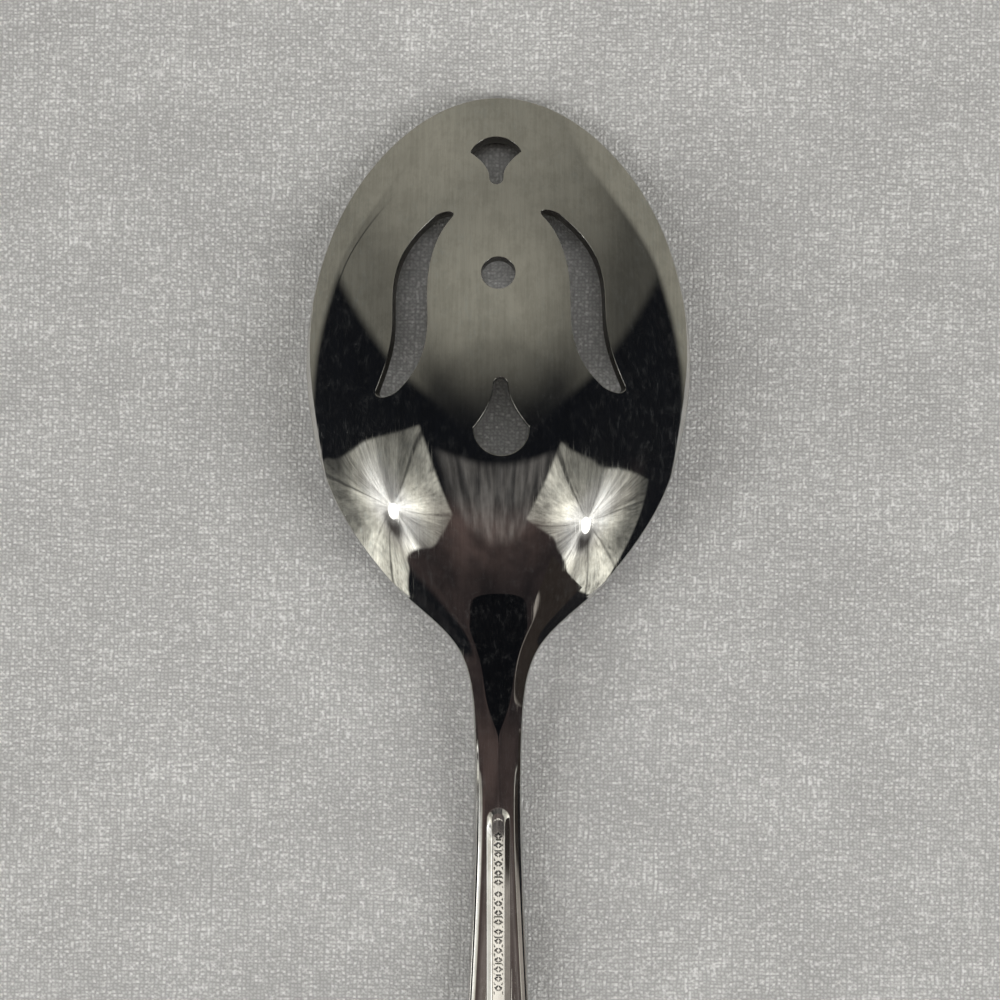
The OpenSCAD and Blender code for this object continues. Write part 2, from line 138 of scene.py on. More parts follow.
def half_w(s):
    """Half the spoon's width, with the rounded end of the handle."""
    t = np.maximum(0, 1 - (OVERALL_L - s) / END_ROUND_L)
    return (OUTLINE(np.sqrt(np.maximum(0, s) / OVERALL_L))
            * np.sqrt(np.maximum(0, 1 - t ** END_ROUND_POWER)))


CREST = curve(
    placed([(0, 0.1078), (0.076, 0.272), (0.152, 0.428), (0.242, 0.587), (0.333, 0.726),
            (0.455, 0.874), (0.576, 0.97), (0.697, 1), (0.773, 0.987), (0.841, 0.935),
            (0.886, 0.87), (0.933, 0.774), (1, 0.626)], 0, BOWL_L, 0, BOWL_H)
    + placed([(0.222, 0.733), (0.556, 0.435), (0.889, 0.235)],
             NECK_S, NECK_L, STEM_T, 0.626 * BOWL_H)
    + placed([(0.046, 0.027), (0.108, 0.004), (0.154, 0), (0.223, 0.017), (0.354, 0.103),
              (0.585, 0.373), (0.892, 0.849), (1, 1)],
             STEM_S, OVERALL_L - STEM_S, STEM_T, HANDLE_RISE + HANDLE_T))
EDGE = curve(
    placed([(0, 0.1078), (0.121, 0.127), (0.303, 0.191), (0.576, 0.297), (0.788, 0.392),
            (0.909, 0.45), (0.985, 0.462)], 0, BOWL_L, 0, BOWL_H)
    + [(s, float(CREST(s)) - d) for s, d in
       placed([(0.17, 2.15), (0.4, 1.2), (0.66, 1.1), (1, 1.2)], NECK_S, NECK_L, 0, BEVEL_DROP)
       + placed([(0.0615, 1.15), (0.154, 1), (0.354, 1), (1, 1)],
                STEM_S, OVERALL_L - STEM_S, 0, BEVEL_DROP)])
TINY = 0.02


def dome_z(x, s):
    """The bowl's back: a round middle and a steeper rim, which is plainer toward the neck."""
    q = np.minimum(1, np.abs(x) / np.maximum(TINY, half_w(s)))
    k = (0.28 * ease(0, 0.33 * BOWL_L, s)
         * (1 - 0.85 * ease(0.52 * BOWL_L, 0.91 * BOWL_L, s)))
    top = CREST(s)
    return top - (top - EDGE(s)) * ((1 - k) * q * q + k * q ** 5)


TONGUE_SHARES = [(-0.222, 1.01), (-0.111, 0.8), (0.022, 0.573), (0.15, 0.425), (0.3, 0.321),
                 (0.444, 0.252), (0.567, 0.156), (0.667, 0.052), (0.722, 0)]
TONGUE = curve([(NECK_S + a * NECK_L, b * STEM_W) for a, b in TONGUE_SHARES])
TONGUE_START = NECK_S + TONGUE_SHARES[0][0] * NECK_L
TONGUE_END = NECK_S + TONGUE_SHARES[-1][0] * NECK_L


def tongue_x(s):
    """Half the width of the flat tongue on the neck."""
    return np.where(s >= TONGUE_END, 0,
                    np.maximum(0, TONGUE(np.clip(s, TONGUE_START, TONGUE_END))))


FACET_ROUND = 0.06 * STEM_W
BEVEL_ROUND = 0.2 * BEVEL_W


def facet_z(x, s):
    """Neck, stem and handle: a flat tongue or soft ridge, side facets and a bevel."""
    w = np.maximum(half_w(s), TINY)
    v = np.minimum(np.abs(x), w)
    k = 0.75 * ease(NECK_S + 0.45 * NECK_L, STEM_S + 0.5 * STEM_L, s)
    top = CREST(s)
    bevel = np.minimum(BEVEL_W, w / 2)
    facet = ramp(v, np.minimum(tongue_x(s), w - bevel), w, FACET_ROUND)
    edge = ramp(v, w - bevel, w, BEVEL_ROUND)
    return top - (top - EDGE(s)) * ((1 - k) * facet + k * edge)


# The raised band, with a struck bed along its crown. The bed holds rows of plain lozenges and
# bars where the real spoon has its stamp.
BAND_S = STEM_S + BAND_GAP
BAND_R = BAND_W / 2
BAND_TOP = 0.38
CROWN_SHARE = 0.55
FOOT_ROUND = 0.05
CROWN_ROUND = 0.08
FOOT_END_SHARE = 1.12
# the nose is lower than the band, and rises to its height over this stretch
NOSE_SHARE = 0.22
NOSE_FROM = BAND_S - 0.3
NOSE_TO = BAND_S + 4.5
BED_HALF = 0.74
BED_DEPTH = 0.05
BED_SOFT = 0.045
BED_END_STRETCH = 0.9
BED_S = BAND_S + 2.2
BED_L = 44.0
MARK_H = 0.1
MARK_PITCH = 1.15
MARK_MARGIN = 1.0
# each row: its distance from the margin, and how many marks it has
MARK_ROWS = [(0.2, 6), (7.4, 11), (21.0, 7), (30.0, 11)]
# a lozenge and a bar behind it: place along, half length, half width, power of the outline
MARK_PARTS = [(0.0, 0.40, 0.54, 1), (0.575, 0.13, 0.56, 4)]


def marks(x, s):
    """Generic relief: rows of lozenges, each with a bar behind it."""
    h = np.zeros(np.broadcast(x, s).shape)
    for start, count in MARK_ROWS:
        for i in range(count):
            c = BED_S + MARK_MARGIN + start + i * MARK_PITCH
            for at_s, long, wide, power in MARK_PARTS:
                d = np.abs((s - c - at_s) / long) ** power + np.abs(x / wide) ** power
                h = np.maximum(h, 1 - d)
    return h


def band_z(x, s):
    """A flat crown between two plane flanks, with a low rounded nose and a bed along the crown."""
    past = np.maximum(0, np.maximum(BAND_S + BAND_R - s, s - BAND_S - BAND_L + BAND_R))
    rho = np.sqrt(x * x + past * past) / BAND_R
    flank = (1 - rho) / (1 - CROWN_SHARE)
    rise = BAND_TOP * (NOSE_SHARE + (1 - NOSE_SHARE) * ease(NOSE_FROM, NOSE_TO, s))
    z = rise * (bend(flank, FOOT_ROUND) - bend(flank - 1, CROWN_ROUND))
    z = z * ease(FOOT_END_SHARE, 1.0, rho)
    bed_past = np.maximum(0, np.maximum(BED_S - s, s - BED_S - BED_L))
    from_edge = BED_HALF - np.sqrt(x * x + (BED_END_STRETCH * bed_past) ** 2)
    in_bed = ease(-BED_SOFT, BED_SOFT, from_edge)
    # the bed is flat across, a little below the crown
    flat = rise - BED_DEPTH
    return z + in_bed * (np.minimum(z, flat + MARK_H * marks(x, s)) - z)


FACET_FROM = NECK_S - 0.28 * NECK_L
FACET_TO = NECK_S + 0.28 * NECK_L
# the strip lies between these distances from the edge
STRIP_FROM, STRIP_TO = 0.5, 0.27
STRIP_SLOPE = 0.34
STRIP_ROUND = 0.02
STRIP_END_FROM = OVERALL_L - 26
STRIP_END_TO = OVERALL_L - 16


def edge_strip(x, s):
    """How far a narrow steep strip drops along the edge of the stem and the handle."""
    inset = half_w(s) - np.abs(x)
    there = ease(NECK_S + 0.5 * NECK_L, STEM_S, s) * (1 - ease(STRIP_END_FROM, STRIP_END_TO, s))
    depth = bend(STRIP_FROM - inset, STRIP_ROUND) - bend(STRIP_TO - inset, STRIP_ROUND)
    return there * STRIP_SLOPE * depth


def back_z(x, s):
    """Height of the back: the side that lies uppermost and that the photograph shows."""
    b = ease(FACET_FROM, FACET_TO, s)
    return (1 - b) * dome_z(x, s) + b * facet_z(x, s) + band_z(x, s) - edge_strip(x, s)


THICK_S = [0, 0.73 * BOWL_L, 0.91 * BOWL_L, NECK_S + 0.22 * NECK_L, NECK_S + 0.78 * NECK_L,
           HANDLE_S, OVERALL_L]
THICK_T = [SHEET_T, SHEET_T, SHEET_T + 0.333 * (STEM_T - SHEET_T),
           SHEET_T + 0.75 * (STEM_T - SHEET_T), STEM_T, STEM_T, HANDLE_T]
FRONT_FROM = NECK_S - 0.55 * NECK_L
FRONT_TO = NECK_S + 0.55 * NECK_L


def front_z(x, s):
    """Height of the front: the sheet's thickness below the dome, then the flat underside."""
    t = np.interp(s, THICK_S, THICK_T)
    b = ease(FRONT_FROM, FRONT_TO, s)
    q = np.abs(x) / np.maximum(TINY, half_w(s))
    z = dome_z(x, s)
    gx = (dome_z(x + TINY, s) - z) / TINY
    gs = (dome_z(x, s + TINY) - z) / TINY
    return ((1 - b) * (z - t * np.sqrt(1 + gx * gx + gs * gs))
            + b * (CREST(s) - t + 0.12 * STEM_T * q * q))


def gradient(f, x, s, e=0.004):
    """Slopes of a height function across and along the spoon."""
    return ((f(x + e, s) - f(x - e, s)) / (2 * e), (f(x, s + e) - f(x, s - e)) / (2 * e))


def unit(v):
    return v / np.maximum(np.linalg.norm(v, axis=-1, keepdims=True), 1e-12)


def point(x, s, z):
    """A place of the spoon in the shared frame, in millimetres."""
    return np.stack([x, OVERALL_L / 2 - s, z + LIFT], -1)


# The front is square under the back in the pierced stretch. These say where that stretch fades
# in from the rim (as a share of the half width), in from the tip and out toward the neck.
SQUARE_RIM = (0.04, 0.2)
SQUARE_TIP = (0.8, 4)
SQUARE_NECK = (46, 50)


def back_point(p):
    return point(p[:, 0], p[:, 1], back_z(p[:, 0], p[:, 1]))


def back_normal(p):
    gx, gs = gradient(back_z, p[:, 0], p[:, 1])
    return unit(np.stack([-gx, gs, np.ones_like(gx)], -1))


def front_point(p):
    """The front under a place of the back: along the normal in the pierced stretch of the bowl,
    and straight below it elsewhere."""
    x, s = p[:, 0], p[:, 1]
    q = np.abs(x) / np.maximum(TINY, half_w(s))
    k = ease(*SQUARE_RIM, 1 - q) * ease(*SQUARE_TIP, s) * (1 - ease(*SQUARE_NECK, s))
    n = back_normal(p)
    x2 = x - SHEET_T * k * n[:, 0]
    s2 = s + SHEET_T * k * n[:, 1]
    return point(x2, s2, front_z(x2, s2))


def front_normal(p, e=0.01):
    ex, es = np.array([e, 0.0]), np.array([0.0, e])
    a = front_point(p + ex) - front_point(p - ex)
    b = front_point(p + es) - front_point(p - es)
    n = unit(np.cross(a, b))
    return np.where(n[:, 2:3] > 0, -n, n)


# Plan: the outline and the holes
def resample(p, gap, closed=False, keep=()):
    """Points along a polyline, about gap(place) apart, through the kept corners."""
    if closed:
        p = np.vstack([p, p[:1]])
    d = np.concatenate([[0], np.cumsum(np.linalg.norm(np.diff(p, axis=0), axis=1))])
    stops = sorted({0, len(p) - 1, *keep})
    out = []
    for a, b in zip(stops[:-1], stops[1:]):
        seg = d[a:b + 1]
        dens = 1 / np.array([gap(q) for q in p[a:b + 1]])
        f = np.concatenate([[0], np.cumsum((dens[1:] + dens[:-1]) / 2 * np.diff(seg))])
        n = max(1, int(round(f[-1])))
        at = np.interp(np.linspace(0, f[-1], n + 1), f, seg)
        for c in at[:-1]:
            out.append((np.interp(c, seg, p[a:b + 1, 0]), np.interp(c, seg, p[a:b + 1, 1])))
    if not closed:
        out.append(tuple(p[-1]))
    return np.array(out)


TURN = math.radians(1.1)
HOLE_D = 4.0
HOLE_S = 23.2


def turned(p):
    """The pierced pattern sits a little askew, turned about the round hole."""
    c, k = math.cos(TURN), math.sin(TURN)
    x, d = p[:, 0], p[:, 1] - HOLE_S
    return np.stack([x * c + d * k, HOLE_S + d * c - x * k], -1)


def places(a, b, n):
    """Places between a and b that crowd toward both ends."""
    i = np.arange(n + 1)
    return (a + b) / 2 - (b - a) / 2 * np.cos(np.pi * (i + 0.5) / (n + 1))


def closing(d, r):
    """The round end of an outline: 0 at its end and 1 from the distance r on."""
    return np.sqrt(np.maximum(0, 1 - np.maximum(0, 1 - d / r) ** 2))


def flank(t, stalk, wide):
    """A hollow side that falls from the wide end to the stalk."""
    return stalk + (wide - stalk) * np.maximum(0, 1 - t) ** 1.8


SLOT_W, SLOT_L, SLOT_S, SLOT_X = 4.14, 22.3, 15.35, 10.55
SLOT_LINE = curve([(0, 0.555), (0.085, 0.725), (0.21, 0.89), (0.39, 0.99), (0.5, 1),
                   (0.66, 1.007), (0.79, 1.066), (0.9, 1.173), (1, 1.318)])
SLOT_WIDTH = curve([(0, 0.5), (0.04, 0.56), (0.21, 0.835), (0.43, 0.98), (0.7, 0.995),
                    (0.83, 0.95), (0.92, 0.8), (1, 0.55)])
FAN_W, FAN_L, FAN_S = 6.16, 6.35, 5.6
DROP_W, DROP_L, DROP_S = 6.54, 9.1, 35.75


def slot_loop(side):
    """One of the two curved slots, on the side +1 or -1."""
    s = places(SLOT_S, SLOT_S + SLOT_L, 240)
    t = (s - SLOT_S) / SLOT_L
    h = (SLOT_W / 2 * SLOT_WIDTH(t) * closing(s - SLOT_S, 0.15 * SLOT_W)
         * closing(SLOT_S + SLOT_L - s, 0.2 * SLOT_W))
    x = SLOT_X * SLOT_LINE(t)
    right = np.stack([side * x + h, s], -1)
    left = np.stack([side * x - h, s], -1)
    return np.vstack([right, left[::-1]])


def fan_loop():
    """The fan-shaped hole, and the two corners of its arc."""
    arc_l = 0.32 * FAN_L
    arc_r = ((FAN_W / 2) ** 2 + arc_l ** 2) / (2 * arc_l)
    stalk = 0.27 * FAN_W / 2
    d = np.unique(np.concatenate([places(0, FAN_L, 160), [arc_l]]))
    body = (flank((d - arc_l) / (0.83 * FAN_L - arc_l), stalk, FAN_W / 2)
            * closing(FAN_L - d, stalk))
    h = np.where(d < arc_l, np.sqrt(np.maximum(0, arc_r ** 2 - (arc_r - d) ** 2)), body)
    k = int(np.argmin(np.abs(d - arc_l)))
    loop = np.vstack([np.stack([h, FAN_S + d], -1), np.stack([-h, FAN_S + d], -1)[::-1]])
    return loop, (k, 2 * len(d) - 1 - k)


def drop_loop():
    """The drop-shaped hole, with its stalk toward the tip."""
    corner = DROP_L - DROP_W / 2
    stalk = 0.26 * DROP_W / 2
    d = np.unique(np.concatenate([places(0, DROP_L, 160), [corner]]))
    top = (flank((corner - d) / (corner - 0.09 * DROP_L), stalk, DROP_W / 2)
           * closing(d, stalk))
    h = np.where(d > corner,
                 np.sqrt(np.maximum(0, (DROP_W / 2) ** 2 - (d - corner) ** 2)), top)
    return np.vstack([np.stack([h, DROP_S + d], -1), np.stack([-h, DROP_S + d], -1)[::-1]])


def round_loop():
    """The round hole's outline on the back: a cylinder square to the sheet, seen from above."""
    c = np.array([[0.0, HOLE_S]])
    n = back_normal(c)[0]
    u = unit(np.cross([0, 1, 0], n))
    v = np.cross(n, u)
    a = np.linspace(0, 2 * np.pi, 72, endpoint=False)[:, None]
    w = HOLE_D / 2 * (np.cos(a) * u + np.sin(a) * v)
    return np.stack([w[:, 0], HOLE_S - w[:, 1]], -1)


HOLE_GAP = 0.2
FAN, FAN_CORNERS = fan_loop()
HOLES = [resample(turned(p), lambda q: HOLE_GAP, closed=True, keep=keep) for p, keep in
         [(FAN, FAN_CORNERS), (slot_loop(1), ()), (slot_loop(-1), ()), (drop_loop(), ()),
          (round_loop(), ())]]


def area(p):
    """Area of a closed loop, positive where it runs counterclockwise."""
    a, b = p, np.roll(p, -1, 0)
    return (a[:, 0] * b[:, 1] - a[:, 1] * b[:, 0]).sum() / 2


HOLES = [p if area(p) > 0 else p[::-1].copy() for p in HOLES]


def outward(p):
    """Direction from each vertex of a closed loop into the sheet, lengthened at corners."""
    a = unit(p - np.roll(p, 1, 0))
    b = unit(np.roll(p, -1, 0) - p)
    na = np.stack([a[:, 1], -a[:, 0]], -1)
    nb = np.stack([b[:, 1], -b[:, 0]], -1)
    m = unit(na + nb)
    return m / np.maximum((m * na).sum(-1, keepdims=True), 0.45)


def round_w(s):
    """Width of the rounding along the rim."""
    w = np.interp(s, [0.9 * BOWL_L, NECK_S + 0.3 * NECK_L, STEM_S, HANDLE_S],
                  [RIM_ROUND, 0.045 * STEM_W, 0.045 * STEM_W, RIM_ROUND])
    return np.minimum(w, half_w(s) / 2)


# The ruled stretch runs from behind the drop-shaped hole to before the handle's end. Its rows
# are close together where the band begins and ends: place along, gap.
ROW_A, ROW_B = 50.0, 198.0
ROW_GAPS = [(50, 0.5), (60, 0.35), (64, 0.3), (86, 0.3), (87, 0.12), (89.5, 0.12), (91, 0.14),
            (133, 0.14), (136, 0.4), (148, 0.4), (148.4, 0.14), (151, 0.14), (153, 0.5),
            (160, 0.6), (198, 0.6)]
BOWL_GAP, END_GAP = 0.45, 0.4


def outline_gap(q):
    """Distance between neighbouring points of the outline."""
    s = q[1]
    if s < ROW_A:
        return BOWL_GAP
    if s > ROW_B:
        return END_GAP
    return float(np.interp(s, *zip(*ROW_GAPS)))


DENSE_S = OVERALL_L * (1 - np.cos(np.pi * np.linspace(0, 1, 24001))) / 2
DENSE = np.stack([half_w(DENSE_S), DENSE_S], -1)
DENSE[0, 0] = DENSE[-1, 0] = 0
ROW_ENDS = [int(np.argmin(np.abs(DENSE_S - r))) for r in (ROW_A, ROW_B)]
RIGHT = resample(DENSE, outline_gap, keep=ROW_ENDS)
IA, IB = (int(np.argmin(np.abs(RIGHT[:, 1] - r))) for r in (ROW_A, ROW_B))
LEFT = RIGHT[1:-1][::-1] * [-1, 1]
# a closed loop: the tip, the right side, the handle's end and the left side
RIM = np.vstack([RIGHT, LEFT])
TANGENT = unit(np.roll(RIM, -1, 0) - np.roll(RIM, 1, 0))
INWARD = np.stack([-TANGENT[:, 1], TANGENT[:, 0]], -1)
FROM_END = np.minimum(RIM[:, 1], OVERALL_L - RIM[:, 1])
FULL_ROUND_L = 3
ROUND = np.where(FROM_END < FULL_ROUND_L, RIM_ROUND, np.maximum(round_w(RIM[:, 1]), 0))
ANGLES = np.radians([90, 72, 54, 38, 24, 11, 0, -11, -24, -38, -54, -72, -90])


def rim_point(a):
    """Points of the rounded rim at one angle: 90 degrees is on the back, -90 on the front."""
    p = RIM + (ROUND * (1 - np.cos(a)))[:, None] * INWARD
    b, f = back_z(p[:, 0], p[:, 1]), front_z(p[:, 0], p[:, 1])
    mid = (b + f) / 2
    z = mid + ((b - mid) if a > 0 else (mid - f)) * math.sin(a)
    return p, point(p[:, 0], p[:, 1], z)


# The mesh
verts, normals, pierced, faces = [], [], [], []
count = 0


def add(points, nrm, cut=0.0):
    """Adds vertices and gives their numbers. cut is 1 for the walls of the pierced holes, which are
    duller than the polished faces and darker in colour, as painted shade."""
    global count
    verts.append(points)
    normals.append(nrm)
    pierced.append(np.full(len(points), cut))
    ids = np.arange(count, count + len(points))
    count += len(points)
    return ids


def strip(a, b, closed=True):
    """Joins two rows of vertices by a strip of quads."""
    n = len(a)
    for i in range(n if closed else n - 1):
        j = (i + 1) % n
        faces.append((int(a[i]), int(a[j]), int(b[j]), int(b[i])))


# the rounded rim
ANGLE_STEP = 0.02
rim_ids = []
for a in ANGLES:
    p, q = rim_point(a)
    _, q1 = rim_point(min(a + ANGLE_STEP, math.pi / 2))
    _, q0 = rim_point(max(a - ANGLE_STEP, -math.pi / 2))
    along = np.roll(q, -1, 0) - np.roll(q, 1, 0)
    n = unit(np.cross(along, q1 - q0))
    out = np.stack([-INWARD[:, 0], INWARD[:, 1], np.zeros(len(q))], -1)
    away = out * math.cos(a) + np.array([0, 0, math.sin(a)])
    n = np.where((n * away).sum(-1, keepdims=True) < 0, -n, n)
    if abs(a - ANGLES[0]) < 1e-9:
        n = back_normal(p)
    if abs(a - ANGLES[-1]) < 1e-9:
        n = front_normal(p)
    rim_ids.append(add(q, n))
for a, b in zip(rim_ids[:-1], rim_ids[1:]):
    strip(a, b)
RING, _ = rim_point(ANGLES[0])
TOP_RING, LOW_RING = rim_ids[0], rim_ids[-1]

# The holes: a small rounding on the back, the wall, and a small rounding on the front. Rows at an
# angle whose cosine is under WALL_COSINE belong to the wall, which is duller and has a darker colour
# that is painted shade.
BACK_ROUND, FRONT_ROUND = 0.07, 0.07
WALL_COSINE = 0.35
hole_rings = []
for loop in HOLES:
    m = outward(loop)
    mu = unit(m)
    gx, gs = gradient(back_z, loop[:, 0], loop[:, 1])
    t3 = unit(np.stack([mu[:, 0], -mu[:, 1], mu[:, 0] * gx + mu[:, 1] * gs], -1))
    rows = [(f, BACK_ROUND * (1 - math.sin(f)), BACK_ROUND * (1 - math.cos(f)), 1)
            for f in np.radians([0, 25, 50, 72, 90])]
    rows += [(math.pi / 2, 0.0, SHEET_T / 2, 1)]
    rows += [(f, FRONT_ROUND * (1 - math.sin(f)), SHEET_T - FRONT_ROUND * (1 - math.cos(f)), -1)
             for f in np.radians([90, 60, 30, 0])]
    ids = []
    for f, d, depth, way in rows:
        p = loop + d * m
        n = back_normal(p)
        cut = 1.0 if math.cos(f) < WALL_COSINE else 0.0
        normal = unit(way * math.cos(f) * n - math.sin(f) * t3)
        ids.append(add(back_point(p) - depth * n, normal, cut))
    for a, b in zip(ids[:-1], ids[1:]):
        strip(a, b)
    hole_rings.append((loop + BACK_ROUND * m, ids[0], loop + FRONT_ROUND * m, ids[-1]))

# The ruled stretch has the same number of columns all the way. Along the stem and the handle
# they crowd at the edges of the bed and of the crown, at the band's foot and at the bevel.
# KNOTS gives the number of the column that falls on each of those places.
KNOTS = [0, 9, 15, 20, 29, 39, 54]
BED_X = (0.66, 0.8)
CROWN_X = 1.28
FOOT_X = 1.58
FULL_BED_X = 1.5
FOOT_SHARE = 0.72
LEAST_GAP = 0.05
BEVEL_X = 0.6
CROWD_FROM, CROWD_TO = 72, 86


def columns(s, reach):
    """Places of the columns between the middle line and the rim, for one row of the back."""
    n = KNOTS[-1]
    even = np.linspace(0, reach, n + 1)
    foot = min(FOOT_X, FOOT_SHARE * reach)
    bevel = max(foot + LEAST_GAP, reach - BEVEL_X)
    bed = [x * min(1, foot / FULL_BED_X) for x in BED_X]
    crown = CROWN_X * min(1, foot / FOOT_X)
    crowded = np.interp(np.arange(n + 1), KNOTS, [0, *bed, crown, foot, bevel, reach])
    k = float(ease(CROWD_FROM, CROWD_TO, s))
    return (1 - k) * even + k * crowded


def ruled(ring_ids, ring, xs_of, surface, normal):
    """Rows across the spoon between two rim points, with the same count in each row."""
    rows = []
    for i in range(IA, IB + 1):
        j = len(RIM) - i
        s0 = RIM[i, 1]
        last = ring[i]
        xs = xs_of(s0, last[0])[1:-1]
        s = s0 + (last[1] - s0) * xs / last[0]
        right = np.stack([xs, s], -1)
        mid = np.array([[0.0, s0]])
        rows.append((ring_ids[j], np.vstack([(right * [-1, 1])[::-1], mid, right]), ring_ids[i]))
    flat = np.vstack([r[1] for r in rows])
    ids = add(surface(flat), normal(flat))
    n = len(rows[0][1])
    grid = [np.concatenate([[r[0]], ids[k * n:(k + 1) * n], [r[2]]]) for k, r in enumerate(rows)]
    for a, b in zip(grid[:-1], grid[1:]):
        strip(a, b, closed=False)
    return grid, rows


def coarse(s, reach):
    """Places of the columns of the plain front."""
    return np.linspace(0, reach, 15)


top_grid, top_rows = ruled(TOP_RING, RING, columns, back_point, back_normal)
low_grid, low_rows = ruled(LOW_RING, RING, coarse, front_point, front_normal)


def inside(poly, p):
    """Which points lie inside a polygon."""
    x, y = p[:, 0][:, None], p[:, 1][:, None]
    a, b = poly, np.roll(poly, -1, 0)
    hit = (a[:, 1] > y) != (b[:, 1] > y)
    rise = np.where(b[:, 1] == a[:, 1], 1, b[:, 1] - a[:, 1])
    cut = (b[:, 0] - a[:, 0]) * (y - a[:, 1]) / rise + a[:, 0]
    return (hit & (x < cut)).sum(1) % 2 == 1


def hexagonal(lo, hi, gap):
    """Points in a honeycomb over a rectangle."""
    ys = np.arange(lo[1], hi[1], gap * math.sqrt(3) / 2)
    out = []
    for k, y in enumerate(ys):
        xs = np.arange(lo[0] + (k % 2) * gap / 2, hi[0], gap)
        out.append(np.stack([xs, np.full(len(xs), y)], -1))
    return np.vstack(out)


# how near the edge a point of the filling may lie, as a share of the gap between its points
NEAREST_SHARE = 0.42


def fill(loop, loop_ids, holes, gap, surface, normal):
    """Triangles between a closed loop and its holes, over the plan."""
    inner = hexagonal(loop.min(0), loop.max(0), gap)
    inner = inner[inside(loop, inner)]
    bound = np.vstack([loop] + [h for h, _ in holes])
    for h, _ in holes:
        inner = inner[~inside(h, inner)]
    near = np.array([np.min(np.sum((bound - q) ** 2, axis=1)) for q in inner])
    inner = inner[near > (NEAREST_SHARE * gap) ** 2]
    ids = add(surface(inner), normal(inner))
    pts, gid, edges = [], [], []
    for p, i in [(loop, loop_ids)] + list(holes):
        o = len(pts)
        pts += [Vector((float(a), float(b))) for a, b in p]
        gid += [int(k) for k in i]
        edges += [(o + k, o + (k + 1) % len(p)) for k in range(len(p))]
    pts += [Vector((float(a), float(b))) for a, b in inner]
    gid += [int(k) for k in ids]
    out, _, tris, origin, _, _ = delaunay_2d_cdt(pts, edges, [], 1, 1e-7)
    if len(out) != len(pts):
        print("plan: %d points in, %d out" % (len(pts), len(out)))
    mid = np.array([[sum(out[k].x for k in t) / 3, sum(out[k].y for k in t) / 3] for t in tris])
    keep = inside(loop, mid)
    for h, _ in holes:
        keep &= ~inside(h, mid)
    for t, ok in zip(tris, keep):
        if ok:
            faces.append(tuple(gid[origin[k][0]] for k in t))


def region(grid, rows, ring_ids, ring, first):
    """The closed plan loop of the bowl (first) or of the handle's end, and its vertices."""
    if first:
        order = np.concatenate([np.arange(len(RIM) - IA, len(RIM)), np.arange(0, IA + 1)])
        across, across_ids = rows[0][1][::-1], grid[0][1:-1][::-1]
    else:
        order = np.arange(IB, len(RIM) - IB + 1)
        across, across_ids = rows[-1][1], grid[-1][1:-1]
    return np.vstack([ring[order], across]), np.concatenate([ring_ids[order], across_ids])


for first in (True, False):
    for grid, rows, ids, gap, surface, normal, pick in (
            (top_grid, top_rows, TOP_RING, 0.55, back_point, back_normal, 0),
            (low_grid, low_rows, LOW_RING, 0.8, front_point, front_normal, 2)):
        loop, loop_ids = region(grid, rows, ids, RING, first)
        holes = [(h[pick], h[pick + 1]) for h in hole_rings] if first else []
        fill(loop, loop_ids, holes, gap, surface, normal)

V = np.vstack(verts) * MM
N = np.vstack(normals)
mesh = bpy.data.meshes.new("spoon")
mesh.from_pydata(V.tolist(), [], faces)
mesh.update()
bm = bmesh.new()
bm.from_mesh(mesh)
loose = [v for v in bm.verts if not v.link_faces]
bmesh.ops.recalc_face_normals(bm, faces=bm.faces)
if bm.calc_volume(signed=True) < 0:
    bmesh.ops.reverse_faces(bm, faces=bm.faces)
open_edges = sum(1 for e in bm.edges if len(e.link_faces) != 2)
print("spoon: %d vertices, %d faces, %d open edges, %d loose vertices, %.1f mm3" % (
    len(bm.verts), len(bm.faces), open_edges, len(loose), bm.calc_volume() * 1e9))
bm.to_mesh(mesh)
bm.free()
for f in mesh.polygons:
    f.use_smooth = True
mesh.normals_split_custom_set_from_vertices([tuple(n) for n in N])
wall_share = mesh.attributes.new("pierced", "FLOAT", "POINT")
wall_share.data.foreach_set("value", np.concatenate(pierced))
spoon = bpy.data.objects.new("slotted_spoon", mesh)
bpy.context.scene.collection.objects.link(spoon)
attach(spoon, "root")
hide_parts("bowl", "neck", "stem", "handle")


